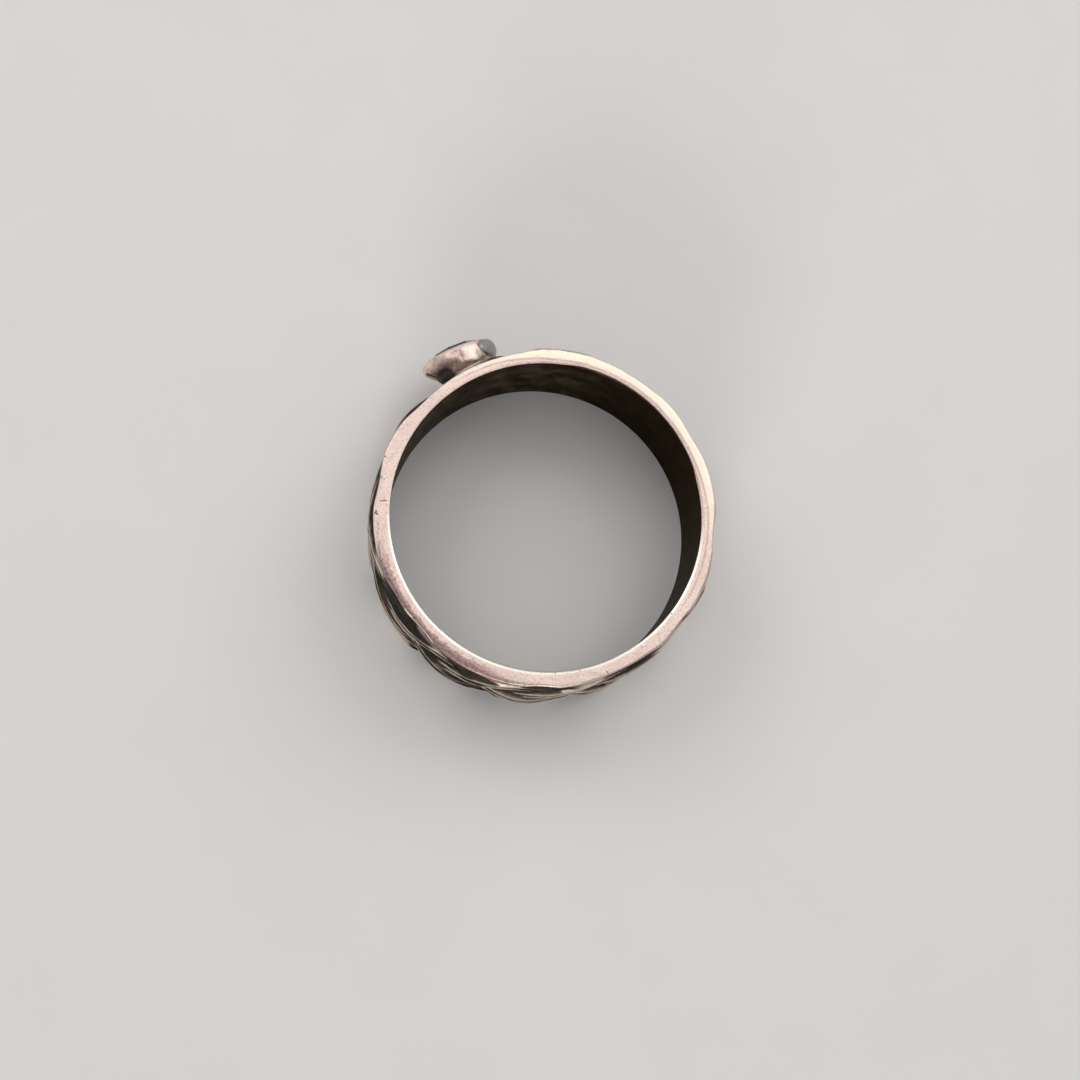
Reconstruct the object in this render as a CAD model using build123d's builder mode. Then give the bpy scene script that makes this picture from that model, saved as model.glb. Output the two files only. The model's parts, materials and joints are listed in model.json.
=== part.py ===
"""A cast silver finger ring: a plaited band with a small cut stone in a soldered cup.

The ring lies on its side. The origin is the centre of the finger hole, halfway along it, and
+Z runs along the finger, square to both rims. The stone faces the front, along -Y.
"""

import math
import os

from build123d import *

# Finger hole and band, with all lengths in millimetres
bore_diameter = 18.0
band_width = 7.0
floor_wall = 0.60
rim_wall = 0.80
rim_land = 0.22
bore_bevel = 0.08
rim_bevel = 0.09

# Plait: one long strand of parallel cords, worked three times round the band
lead_count = 3
strand_width = 2.0
cord_count = 2
strand_body = 0.23
cord_height = 0.17
strand_crown = 0.05
strand_flank = 0.24
weave_lift = 0.15
bight_overrun = 0.05
bight_sharpness = 0.06

# Bights of the plait along the upper rim, counter-clockwise from the setting.
# Columns: turn in degrees, wall as a share of the full wall, reach as a share of the full reach.
bights = (
    (2.0, 0.86, 0.98),
    (41.0, 0.95, 1.02),
    (84.0, 1.04, 1.00),
    (114.0, 1.08, 0.98),
    (142.0, 1.08, 1.02),
    (170.0, 1.00, 0.99),
    (200.0, 1.00, 1.02),
    (228.0, 0.95, 0.98),
    (258.0, 0.89, 1.01),
    (289.0, 0.84, 0.97),
    (326.0, 0.86, 1.01),
)
TURN, WALL, REACH = 0, 1, 2

# Facets of the patterned wall
columns_per_bight = 16
wall_rows = 26

# Bezel cup, soldered a little above the middle of the band and leaning to one side
cup_above_middle = 0.10
cup_lean = 4.0
cup_height = 1.84
cup_shoulder_height = 1.35
cup_shoulder_wall = 0.32
cup_lip_wall = 0.10
cup_foot_radius = 1.32
cup_foot_height = 0.45
solder_spread = 0.35

# Cut stone, and the space that the cup leaves round it
stone_radius = 1.95
stone_proud = 0.30
stone_gap = 0.03
girdle_below_lip = 0.24
girdle_thickness = 0.10
crown_slope = 45.0
break_slope = 53.0
pavilion_slope = 33.0
culet_radius = 0.50
main_facets = 8

FULL_TURN = 360.0
FRONT = -90.0
bore_radius = bore_diameter / 2
floor_radius = bore_radius + floor_wall
half_width = band_width / 2


def along(column, place):
    """Smooth value of a column of the bights table at a place counted in bights round the ring."""
    first = math.floor(place)
    share = place - first
    values = []
    for step in (-1, 0, 1, 2):
        laps, row = divmod(first + step, len(bights))
        value = bights[row][column]
        if column == TURN:
            value += laps * FULL_TURN
        values.append(value)
    before, start, end, after = values
    slope_in = (end - before) / 2
    slope_out = (after - start) / 2
    rise = end - start
    bend = 3 * rise - 2 * slope_in - slope_out
    twist = slope_in + slope_out - 2 * rise
    return start + slope_in * share + bend * share**2 + twist * share**3


def strand_phase(place, lead):
    """Angle of one lead's wave: nought at an upper bight, half a turn at a lower one."""
    return 2 * math.pi * (place + lead) / lead_count


def strand_height(place, lead):
    """Height of the middle of one strand, as it swings from rim to rim."""
    phase = strand_phase(place, lead)
    wave = math.cos(phase) + bight_sharpness * math.cos(3 * phase)
    full_reach = half_width - strand_width / 2 + bight_overrun
    return full_reach * along(REACH, place) * wave / (1 + bight_sharpness)


def strand_section(offset):
    """Height of a strand above the floor at an offset from its middle."""
    half = strand_width / 2
    beyond = abs(offset) - half
    if beyond >= strand_flank:
        return 0.0
    if beyond > 0:
        return strand_body * (1 - beyond / strand_flank)
    cord_pitch = strand_width / cord_count
    cords = math.cos(math.pi * (offset / cord_pitch - (cord_count - 1) / 2)) ** 2
    crown = 1 - (offset / half) ** 2
    return strand_body + cord_height * cords + strand_crown * crown


def relief(place, height):
    """Height of the pattern above its floor: the highest strand, or the plain edge of the rim."""
    from_rim = half_width - abs(height)
    edge = min(1.0, max(0.0, 2 - from_rim / rim_land))
    tallest = edge * (rim_wall - floor_wall)
    step = 0.02
    run = math.radians(along(TURN, place + step) - along(TURN, place - step)) * floor_radius
    for lead in range(lead_count):
        rise = strand_height(place + step, lead) - strand_height(place - step, lead)
        offset = (height - strand_height(place, lead)) * run / math.hypot(run, rise)
        section = strand_section(offset)
        if section > 0:
            lift = -weave_lift * math.sin(2 * strand_phase(place, lead))
            tallest = max(tallest, section + lift)
    return tallest


def wall_row(height, bevel):
    """Points round the patterned wall at one height, drawn in by a bevel at the rims."""
    clear_of_bevels = half_width - rim_bevel
    inside = min(max(height, -clear_of_bevels), clear_of_bevels)
    points = []
    for column in range(columns_per_bight * len(bights)):
        place = column / columns_per_bight
        wall = along(WALL, place) * (floor_wall + relief(place, inside))
        radius = bore_radius + wall - bevel
        turn = math.radians(FRONT + along(TURN, place))
        points.append(Vector(radius * math.cos(turn), radius * math.sin(turn), height))
    return points


def wall_grid():
    """Rows of points round the wall, from the lower rim to the upper one."""
    clear_of_bevels = half_width - rim_bevel
    rows = [wall_row(-half_width, rim_bevel)]
    for row in range(wall_rows + 1):
        rows.append(wall_row(clear_of_bevels * (2 * row / wall_rows - 1), 0.0))
    rows.append(wall_row(half_width, rim_bevel))
    return rows


def facets_between(lower, upper):
    """Triangles that join two rows of points, each square cut along its shorter diagonal."""
    facets = []
    for column, (a, d) in enumerate(zip(lower, upper)):
        beside = (column + 1) % len(lower)
        b, c = lower[beside], upper[beside]
        if (c - a).length <= (d - b).length:
            triangles = ((a, b, c), (a, c, d))
        else:
            triangles = ((a, b, d), (b, c, d))
        facets += [Face(Wire.make_polygon(corners)) for corners in triangles]
    return facets


def patterned_blank():
    """Closed solid of the band before the finger hole is bored."""
    rows = wall_grid()
    faces = [Face(Wire.make_polygon(rows[0])), Face(Wire.make_polygon(rows[-1]))]
    for lower, upper in zip(rows, rows[1:]):
        faces += facets_between(lower, upper)
    return Solid(Shell(faces))


os.makedirs("parts", exist_ok=True)

# The setting's own plane: x runs outward from the floor of the pattern, y runs up beside the stone
outward = Vector(0, -1, 0).rotate(Axis.Z, -cup_lean)
setting_foot = Vector(0, -floor_radius, cup_above_middle)
setting_plane = Plane(origin=setting_foot, x_dir=outward, z_dir=outward.rotate(Axis.Z, -90))
setting_axis = Axis(setting_foot, outward)

# Levels along the setting's axis, and radii about it
pocket_radius = stone_radius + stone_gap
cup_radius = pocket_radius + cup_shoulder_wall
cup_lip_radius = pocket_radius + cup_lip_wall
table_level = cup_height + stone_proud
girdle_top = cup_height - girdle_below_lip
girdle_bottom = girdle_top - girdle_thickness
crown_tangent = math.tan(math.radians(crown_slope))
table_radius = stone_radius - (table_level - girdle_top) / crown_tangent
pavilion_drop = (stone_radius - culet_radius) * math.tan(math.radians(pavilion_slope))
culet_level = girdle_bottom - pavilion_drop

# Rings of facets on the stone.
# Columns: level at the girdle, side (1 crown, -1 pavilion), slope, facets, share of a facet turned.
facet_rings = (
    (girdle_top, 1, crown_slope, main_facets, 0.0),
    (girdle_top, 1, break_slope, 2 * main_facets, 0.5),
    (girdle_bottom, -1, pavilion_slope, main_facets, 0.0),
)

# Cut stone: a turned blank, then flat facets ground round its crown and pavilion
with BuildPart() as stone:
    with BuildSketch(setting_plane):
        with BuildLine():
            Polyline(
                (culet_level, 0),
                (culet_level, culet_radius),
                (girdle_bottom, stone_radius),
                (girdle_top, stone_radius),
                (table_level, table_radius),
                (table_level, 0),
                close=True,
            )
        make_face()
    revolve(axis=setting_axis)
    for level, side, slope, facet_count, turned in facet_rings:
        touch_radius = stone_radius * math.cos(math.pi / facet_count)
        lean = math.radians(slope)
        for facet in range(facet_count):
            turn = FULL_TURN * (facet + turned) / facet_count
            beside = Vector(0, 0, 1).rotate(Axis((0, 0, 0), outward), turn)
            touch = setting_foot + outward * level + beside * touch_radius
            normal = outward * (side * math.cos(lean)) + beside * math.sin(lean)
            split(bisect_by=Plane(origin=touch, z_dir=normal), keep=Keep.BOTTOM)
stone.part.label = "stone"
export_step(stone.part, "parts/stone.step")

# Bezel cup, rooted in the band's wall, with the seat of the stone hollowed out of it
with BuildPart() as cup:
    root_level = -floor_wall / 2
    solder_radius = cup_foot_radius + solder_spread
    with BuildSketch(setting_plane):
        with BuildLine():
            Polyline(
                (cup_height, cup_lip_radius),
                (cup_height, 0),
                (root_level, 0),
                (root_level, solder_radius),
                (cup_foot_height, cup_foot_radius),
            )
            shoulder = (cup_shoulder_height, cup_radius)
            TangentArc(shoulder, (cup_foot_height, cup_foot_radius), tangent=(-1, 0))
            TangentArc(shoulder, (cup_height, cup_lip_radius), tangent=(1, 0))
        make_face()
    revolve(axis=setting_axis)
    with BuildSketch(setting_plane):
        with BuildLine():
            seat_gap = stone_gap / math.cos(math.radians(pavilion_slope))
            crown_gap = stone_gap / math.sin(math.radians(crown_slope))
            roof_level = girdle_top + (crown_gap - stone_gap) * crown_tangent
            Polyline(
                (culet_level - seat_gap, 0),
                (culet_level - seat_gap, culet_radius + stone_gap),
                (girdle_bottom - seat_gap, pocket_radius),
                (roof_level, pocket_radius),
                (table_level, table_radius + crown_gap),
                (table_level, 0),
                close=True,
            )
        make_face()
    revolve(axis=setting_axis, mode=Mode.SUBTRACT)

# Finger hole, with a small bevel at each rim
with BuildPart() as finger_hole:
    with BuildSketch(Plane.XZ):
        with BuildLine():
            Polyline(
                (0, -half_width - bore_bevel),
                (bore_radius + 2 * bore_bevel, -half_width - bore_bevel),
                (bore_radius, -half_width + bore_bevel),
                (bore_radius, half_width - bore_bevel),
                (bore_radius + 2 * bore_bevel, half_width + bore_bevel),
                (0, half_width + bore_bevel),
                close=True,
            )
        make_face()
    revolve(axis=Axis.Z)

# Band and cup, one piece of silver once they are soldered
with BuildPart() as ring_band:
    add(patterned_blank(), clean=False)
    add(cup.part, clean=False)
    add(finger_hole.part, clean=False, mode=Mode.SUBTRACT)
ring_band.part.label = "ring_band"
export_step(ring_band.part, "parts/ring_band.step")
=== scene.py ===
import json
import math

import bpy
import numpy as np
from mathutils import Matrix, Vector


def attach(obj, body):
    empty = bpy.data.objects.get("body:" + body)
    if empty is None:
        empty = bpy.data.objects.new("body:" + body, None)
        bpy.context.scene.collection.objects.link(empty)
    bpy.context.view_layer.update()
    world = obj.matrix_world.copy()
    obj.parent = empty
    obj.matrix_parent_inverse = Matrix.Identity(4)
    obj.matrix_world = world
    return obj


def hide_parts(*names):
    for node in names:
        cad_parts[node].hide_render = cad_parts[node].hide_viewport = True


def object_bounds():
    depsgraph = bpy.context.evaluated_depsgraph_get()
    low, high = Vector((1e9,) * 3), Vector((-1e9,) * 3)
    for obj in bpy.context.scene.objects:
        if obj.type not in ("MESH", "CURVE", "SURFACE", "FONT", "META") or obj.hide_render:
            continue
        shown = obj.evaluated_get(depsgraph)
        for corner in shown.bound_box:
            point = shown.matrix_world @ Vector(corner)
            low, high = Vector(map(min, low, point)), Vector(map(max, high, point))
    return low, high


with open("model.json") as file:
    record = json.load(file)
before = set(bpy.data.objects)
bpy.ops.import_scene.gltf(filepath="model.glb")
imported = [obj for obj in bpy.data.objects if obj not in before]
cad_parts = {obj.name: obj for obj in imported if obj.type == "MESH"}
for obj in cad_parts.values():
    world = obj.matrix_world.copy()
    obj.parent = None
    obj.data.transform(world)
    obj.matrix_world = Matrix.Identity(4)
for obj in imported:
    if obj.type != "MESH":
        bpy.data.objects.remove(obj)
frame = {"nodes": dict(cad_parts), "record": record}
cad_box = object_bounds()

# Lengths in this script are millimetres, and MM turns them into Blender's metres.
# Only the lights, the floor and its level are in metres.
MM = 0.001
FULL_TURN = 360.0

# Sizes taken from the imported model
finger_bore = next(m for m in frame["record"]["mounts"] if m["name"] == "finger_bore")
BORE_RADIUS = finger_bore["dims"]["r_mm"]
HALF_WIDTH = cad_box[1].z / MM
FLOOR_LEVEL = cad_box[0].z

# The photo's camera, measured in the photo's own frame: x right, y up, z towards the camera
PHOTO_TURN = math.radians(153.4)
CAMERA_PLACE = (-13.71, -22.93, 130.36)
CAMERA_TILT_X = math.radians(9.83)
CAMERA_TILT_Y = math.radians(-6.16)
LENS = 73.33
SENSOR = 36.0
CLIP_NEAR = 5.0
CLIP_FAR = 10000.0

# Soft square lights that face the ring, all from the same distance.
# Columns: name, direction in the photo in degrees, elevation, size in metres, power in watts, colour.
LIGHT_DISTANCE = 0.45
LIGHTS = (
    ("key", 60.0, 72.0, 0.36, 0.35, (1.0, 0.96, 0.92)),
    ("low", 255.0, 16.0, 0.18, 0.75, (1.0, 0.97, 0.93)),
    ("edge", 42.0, 38.0, 0.34, 0.50, (1.0, 0.98, 0.95)),
    ("left", 133.0, 42.0, 0.26, 0.45, (1.0, 0.97, 0.94)),
)
SURROUND_STRENGTH = 0.42
FLOOR_SIZE = 0.6

# Band, as the solid has it
FLOOR_WALL = 0.60
BORE_BEVEL = 0.08

# Plait, as the solid has it
LEAD_COUNT = 3
STRAND_WIDTH = 2.0
CORD_COUNT = 2
STRAND_BODY = 0.23
CORD_HEIGHT = 0.17
STRAND_CROWN = 0.05
STRAND_FLANK = 0.24
WEAVE_LIFT = 0.15
BIGHT_OVERRUN = 0.05
BIGHT_SHARPNESS = 0.06

# How round the cords are from 0 to 1, how much deeper their grooves are than the solid's, and how far the
# strands' feet and their crossings are rounded into each other
CORD_FULLNESS = 0.93
GROOVE_EXTRA = 0.04
FOOT_BLEND = 0.05
CROSSING_BLEND = 0.03

# Bights along the upper rim, counter-clockwise from the setting.
# Columns: turn in degrees, wall as a share of the full wall, reach as a share of the full reach.
BIGHTS = np.array((
    (2.0, 0.86, 0.98),
    (41.0, 0.95, 1.02),
    (84.0, 1.04, 1.00),
    (114.0, 1.08, 0.98),
    (142.0, 1.08, 1.02),
    (170.0, 1.00, 0.99),
    (200.0, 1.00, 1.02),
    (228.0, 0.95, 0.98),
    (258.0, 0.89, 1.01),
    (289.0, 0.84, 0.97),
    (326.0, 0.86, 1.01),
))
TURN, WALL, REACH = 0, 1, 2

# Turn of the setting, from the X axis
FRONT = -90.0

# Mesh of the band: columns round it, and rows across each part of its section
COLUMNS_PER_BIGHT = 80
WALL_ROWS = 80
ROUND_ROWS = 7
RIM_ROWS = 5
BORE_ROWS = 8
EDGE_ROWS = 6

# Upper rim, where the strands and their wear leave it uneven.
# Columns: turn in degrees, radius of the outer edge, radius where the flat rim starts to round over.
UPPER_EDGE = np.array((
    (2.0, 9.69, 9.60), (12.0, 9.66, 9.58), (21.0, 9.64, 9.56), (26.0, 9.73, 9.62), (30.0, 9.87, 9.74),
    (36.0, 9.92, 9.80), (43.0, 9.97, 9.86), (48.0, 9.85, 9.76), (53.0, 9.77, 9.69), (58.0, 9.83, 9.72),
    (61.0, 9.94, 9.82), (70.0, 9.97, 9.85), (79.0, 9.98, 9.70), (85.0, 9.90, 9.60), (92.0, 9.80, 9.50),
    (99.0, 9.84, 9.46), (104.0, 9.76, 9.44), (109.0, 9.80, 9.46), (113.0, 9.93, 9.48), (120.0, 9.98, 9.48),
    (130.0, 9.99, 9.54), (139.0, 9.97, 9.66), (147.0, 9.92, 9.70), (150.0, 9.83, 9.68), (154.0, 9.85, 9.70),
    (158.0, 9.96, 9.80), (165.0, 9.89, 9.76), (172.0, 9.82, 9.72), (180.0, 9.79, 9.70), (190.0, 9.82, 9.72),
    (196.0, 9.96, 9.76), (200.0, 9.89, 9.74), (204.0, 9.77, 9.69), (208.0, 9.79, 9.70), (211.0, 9.93, 9.74),
    (217.0, 9.96, 9.74), (226.0, 9.95, 9.72), (231.0, 9.86, 9.70), (236.0, 9.73, 9.64), (240.0, 9.72, 9.62),
    (244.0, 9.82, 9.64), (249.0, 9.90, 9.68), (263.0, 9.89, 9.66), (267.0, 9.83, 9.66), (271.0, 9.74, 9.64),
    (275.0, 9.73, 9.64), (280.0, 9.81, 9.70), (288.0, 9.84, 9.73), (295.0, 9.74, 9.66), (303.0, 9.75, 9.67),
    (310.0, 9.79, 9.70), (315.0, 9.83, 9.71), (319.0, 9.91, 9.70), (328.0, 9.92, 9.70), (337.0, 9.91, 9.70),
    (342.0, 9.71, 9.64), (352.0, 9.68, 9.60),
))

# Outer edge of the lower rim.
# Columns: turn in degrees, radius.
LOWER_EDGE = np.array((
    (2.0, 9.70), (21.0, 9.88), (41.0, 9.76), (56.0, 9.90), (66.0, 10.04), (75.0, 10.09), (79.0, 9.86),
    (83.0, 9.86), (89.0, 10.08), (98.0, 10.10), (106.0, 10.13), (109.5, 9.86), (113.0, 9.86), (117.0, 10.06),
    (130.0, 10.07), (133.0, 9.86), (137.0, 9.86), (140.0, 10.08), (150.0, 10.06), (157.0, 9.97),
    (163.0, 9.90), (170.0, 9.80), (185.0, 9.94), (199.0, 9.80), (214.0, 9.90), (228.0, 9.76), (243.0, 9.87),
    (258.0, 9.72), (273.0, 9.82), (290.0, 9.70), (307.0, 9.80), (326.0, 9.68), (344.0, 9.84),
))
EDGE, FLAT = 1, 2

# Columns of the mesh over which the corners of those two tables are rounded off
EDGE_BLUR = 3

# How deep a rim rounds over where its shoulder is this wide, and how much deeper for each millimetre more
SHOULDER_DEEP = 0.09
SHOULDER_WIDE = 0.10
SHOULDER_STEEP = 0.35
LOWER_SHOULDER_WIDE = 0.12

# Inner edge of both rims, which fingers wore round
INNER_EDGE_WIDE = 0.16
INNER_EDGE_DEEP = 0.065
INNER_EDGE_CURVE = 1.4

# Side where the inner edge is less worn, and how much less
CRISP = 0.65
CRISP_TURN = 8.0
CRISP_SPREAD = 60.0

# Below the rims, how far down the plait starts to give way to the rim's own edge, and where it has done so
UPPER_BLEND = 0.38
UPPER_SOLID = 0.16
LOWER_BLEND = 0.60
LOWER_SOLID = 0.16

# Side where the pattern is worn smooth beside the upper rim, and how much farther down it gives way there
SMOOTH_TURN = 272.0
SMOOTH_SPREAD = 78.0
SMOOTH_BLEND = 0.40
SMOOTH_SOLID = 0.10

# Share of their darkness that the grooves lose beside the lower rim
LOWER_CLEANED = 0.8

# Fine wear of the wall: how deep it is, its two sizes and their seeds, and how many times its depth the
# whole face is worn down
WEAR_DEEP = 0.008
WEAR_COARSE = 0.50
WEAR_FINE = 0.22
WEAR_SEEDS = (3, 4)
WEAR_LOSS = 2.3

# Polish of the wall: its mean, how much it varies, and the size and seed of its patches
POLISH_MEAN = 0.8
POLISH_RANGE = 0.5
POLISH_SIZE = 1.6
POLISH_SEED = 5

# Cells of the mesh over which the pattern is averaged, to tell hollows from high places
HOLLOW_BLUR = 5

# Part of the wall that is painted dark as a painted dark reflection, but for some painted highlight bars, as
# far as it shows below the rim: its middle, its spread, and the share of its polish that it has lost there
DARK_REFLECTION_TURN = 118.0
DARK_REFLECTION_SPREAD = 50.0
DARK_REFLECTION_LOSS = 0.7

# Painted highlights: bright bars on that part.
# Columns: turn in degrees, height, half its turn, half its height, strength.
HIGHLIGHT_BARS = (
    (72.0, -2.9, 4.0, 0.6, 1.0),
    (67.0, 2.4, 6.0, 0.5, 0.8),
    (98.0, -2.7, 9.5, 0.6, 0.9),
    (98.0, 0.2, 5.0, 0.9, 0.9),
    (104.0, 1.5, 3.0, 0.8, 0.7),
    (121.0, -2.8, 7.0, 0.6, 0.6),
    (117.0, -2.9, 2.0, 0.5, 0.7),
    (121.0, 0.0, 4.0, 0.9, 1.0),
    (128.0, -0.2, 6.0, 0.6, 0.8),
    (116.0, 2.7, 3.0, 0.6, 1.0),
    (121.0, 1.8, 3.0, 0.5, 1.0),
    (135.0, 2.2, 4.0, 0.4, 1.2),
    (143.0, 0.0, 4.0, 3.5, 0.7),
    (152.0, -1.0, 7.0, 2.0, 1.0),
    (160.0, 0.5, 5.0, 1.5, 1.0),
    (173.0, 1.0, 3.0, 2.0, 1.0),
    (186.0, 2.0, 11.0, 1.5, 1.0),
    (166.0, 2.75, 8.0, 0.35, 4.0),
)

# Setting, as the solid has it
CUP_ABOVE_MIDDLE = 0.10
CUP_LEAN = math.radians(4.0)
CUP_HEIGHT = 1.84
CUP_RADIUS = 2.30
CUP_SHOULDER = 1.35
CUP_LIP = 2.08
CUP_FOOT = 1.32
CUP_FOOT_HEIGHT = 0.45
SOLDER_SPREAD = 0.35

# The setting's own directions, and the middle of its foot
OUTWARD = np.array((-math.sin(CUP_LEAN), -math.cos(CUP_LEAN), 0.0))
BESIDE = np.array((math.cos(CUP_LEAN), -math.sin(CUP_LEAN), 0.0))
UP = np.array((0.0, 0.0, 1.0))
SETTING_FOOT = np.array((0.0, -(BORE_RADIUS + FLOOR_WALL), CUP_ABOVE_MIDDLE))

# Flare of the solder below the cup's foot.
# Columns: level, share of its spread.
SOLDER_FLARE = ((-0.30, 1.0), (-0.05, 0.65), (0.12, 0.40), (0.28, 0.17))

# Inside of the cup, just clear of the stone: levels and radii of the lip, the pocket and its seat
LIP_INSIDE = 1.77
LIP_DROP = 0.06
POCKET_TOP = 1.62
POCKET_RADIUS = 1.98
POCKET_BOTTOM = 1.46
SEAT_LEVEL = 0.52
SEAT_RADIUS = 0.53

# Mesh of the cup: columns round it, and rows across its bowl, its shoulder and its lip
CUP_COLUMNS = 360
BOWL_ROWS = 30
CUP_SHOULDER_ROWS = 16
LIP_ROWS = 6

# Lumps and dents that the soldering left on the cup's outside.
# Columns: turn about the setting in degrees, level, half its turn, half its height, how far out.
LUMPS = (
    (14.0, 1.05, 10.0, 0.30, 0.08),
    (12.0, 0.78, 5.0, 0.10, -0.10),
    (-15.0, 0.82, 50.0, 0.40, -0.42),
    (42.0, 0.75, 24.0, 0.32, -0.28),
    (56.0, 0.85, 12.0, 0.26, -0.14),
    (75.0, 1.20, 12.0, 0.30, 0.06),
    (86.0, 1.40, 2.5, 0.45, -0.08),
    (98.0, 0.62, 18.0, 0.34, 0.34),
    (97.0, 1.30, 8.0, 0.50, 0.05),
    (108.0, 1.15, 3.0, 0.22, 0.06),
    (97.0, 0.30, 16.0, 0.18, 0.22),
    (90.0, 0.45, 3.0, 0.12, -0.12),
    (106.0, 0.55, 3.0, 0.14, 0.10),
)

# Gap between the pocket and the place on the lip where the lumps start
LUMPS_CLEAR = 0.01

# Patches on the cup's outside: solder, painted highlights and painted shade, in the columns of the lumps but
# for the last, which is how strong they are
SOLDERED = (
    (80.0, 0.8, 40.0, 0.5, 1.0),
    (14.0, 0.9, 12.0, 0.4, 1.0),
)
# Painted highlights on the cup's top, its lip's edge and a few spots
PAINTED_HIGHLIGHT_PATCHES = (
    (103.0, 1.45, 15.0, 0.40, 0.8),
    (102.0, 0.80, 10.0, 0.40, 0.6),
    (30.0, 1.55, 16.0, 0.20, 0.6),
    (95.0, 0.50, 5.0, 0.12, 0.8),
    (10.0, 0.95, 3.0, 0.10, 1.0),
)
# Painted shade: under the cup, in its hollow, along its creases and over one end
PAINTED_SHADE_PATCHES = (
    (44.0, 0.80, 20.0, 0.28, 1.1),
    (15.0, 0.48, 45.0, 0.28, 1.3),
    (86.0, 1.25, 2.2, 0.36, 0.6),
    (80.0, 1.55, 6.0, 0.06, 0.5),
    (14.0, 1.10, 4.0, 0.22, 0.5),
    (9.0, 1.22, 5.0, 0.10, 0.5),
    (89.0, 0.42, 4.0, 0.10, 0.8),
    (14.0, 0.95, 16.0, 0.40, 0.45),
)

# Roughness of the cup's outside: its two sizes and their seeds, the share of the fine one, and how deep it
# is all over and where there is solder
ROUGH_COARSE = 0.35
ROUGH_FINE = 0.14
ROUGH_SEEDS = (11, 12)
ROUGH_FINE_SHARE = 0.7
ROUGH_DEEP = 0.006
ROUGH_SOLDER_DEEP = 0.018

# Smooth bead of metal at one end of the cup: its turn and level, and half its size in both
BEAD_TURN = 146.0
BEAD_LEVEL = 1.32
BEAD_HALF_TURN = 27.0
BEAD_HALF_LEVEL = 0.62

# Where the solder's roughness ends on the bead and where it is full, as shares of the bead's own size
BEAD_SMOOTH = 0.8
BEAD_ROUGH = 1.1

# Dark seam along one side of the bead: its width and unevenness as shares of the bead, its depth, how dark
# it is, and the degrees over which it fades at the bead's middle
SEAM_WIDE = 0.08
SEAM_UNEVEN = 0.06
SEAM_DEEP = 0.07
SEAM_DARK = 0.6
SEAM_FADE = 8.0


def smooth_step(low, high, value):
    """0 below low, 1 above high, and a smooth ramp between them."""
    share = np.clip((value - low) / (high - low), 0.0, 1.0)
    return share * share * (3 - 2 * share)


def smooth_max(a, b, blend):
    """The larger of two values, rounded where they are within blend of each other."""
    share = np.clip(0.5 + 0.5 * (b - a) / blend, 0.0, 1.0)
    return a + (b - a) * share + blend * share * (1 - share)


def ripple(points, size, seed, waves=14):
    """Smooth seeded noise, mostly within 1 of nought, with features about size across."""
    random = np.random.default_rng(seed)
    total = np.zeros(points.shape[:-1])
    for _ in range(waves):
        direction = random.normal(size=3)
        direction /= np.linalg.norm(direction)
        length = size * random.uniform(1.2, 3.0)
        start = random.uniform(0, 2 * math.pi)
        total += np.sin(points @ direction * (2 * math.pi / length) + start)
    return total / math.sqrt(2 * waves)


def blurred(grid, radius):
    """A grid averaged over about radius cells: round the ring along columns, and clamped along rows."""
    for _ in range(2):
        total = np.zeros_like(grid)
        for step in range(-radius, radius + 1):
            total += np.roll(grid, step, axis=1)
        grid = total / (2 * radius + 1)
        padded = np.pad(grid, ((radius, radius), (0, 0)), mode="edge")
        total = np.zeros_like(grid)
        for step in range(2 * radius + 1):
            total += padded[step:step + grid.shape[0]]
        grid = total / (2 * radius + 1)
    return grid


def degrees_away(turn, centre):
    """Degrees from a centre to a turn, the short way round."""
    return (turn - centre + FULL_TURN / 2) % FULL_TURN - FULL_TURN / 2


def near(turn, centre, spread):
    """1 at a centre and falling to 0 away from it, in degrees round the ring."""
    return np.exp(-(degrees_away(turn, centre) / spread) ** 4)


def patchwork(patches, turn, level):
    """Sum of soft oval patches in a table of turns and levels, each as strong as its row says."""
    total = np.zeros(np.broadcast(turn, level).shape)
    for centre, middle, half_turn, half_level, strength in patches:
        away = degrees_away(turn, centre)
        total += strength * np.exp(-(away / half_turn) ** 2 - ((level - middle) / half_level) ** 2)
    return total


def along(column, place):
    """Smooth value of a column of the bights table at places counted in bights round the ring."""
    first = np.floor(place).astype(int)
    share = place - first
    values = []
    for step in (-1, 0, 1, 2):
        laps, row = np.divmod(first + step, len(BIGHTS))
        value = BIGHTS[row, column]
        if column == TURN:
            value = value + laps * FULL_TURN
        values.append(value)
    before, start, end, after = values
    slope_in = (end - before) / 2
    slope_out = (after - start) / 2
    rise = end - start
    bend = 3 * rise - 2 * slope_in - slope_out
    twist = slope_in + slope_out - 2 * rise
    return start + slope_in * share + bend * share**2 + twist * share**3


def around(table, column, place):
    """Value of a column of a table of turns at each column of the mesh, with its corners rounded off."""
    values = np.interp(along(TURN, place), table[:, 0], table[:, column], period=FULL_TURN)
    return blurred(values[None, :], EDGE_BLUR)[0]


def strand_phase(place, lead):
    """Angle of one lead's wave: nought at an upper bight, half a turn at a lower one."""
    return 2 * math.pi * (place + lead) / LEAD_COUNT


def strand_height(place, lead):
    """Height of the middle of one strand, as it swings from rim to rim."""
    phase = strand_phase(place, lead)
    wave = np.cos(phase) + BIGHT_SHARPNESS * np.cos(3 * phase)
    full_reach = HALF_WIDTH - STRAND_WIDTH / 2 + BIGHT_OVERRUN
    return full_reach * along(REACH, place) * wave / (1 + BIGHT_SHARPNESS)


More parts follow.
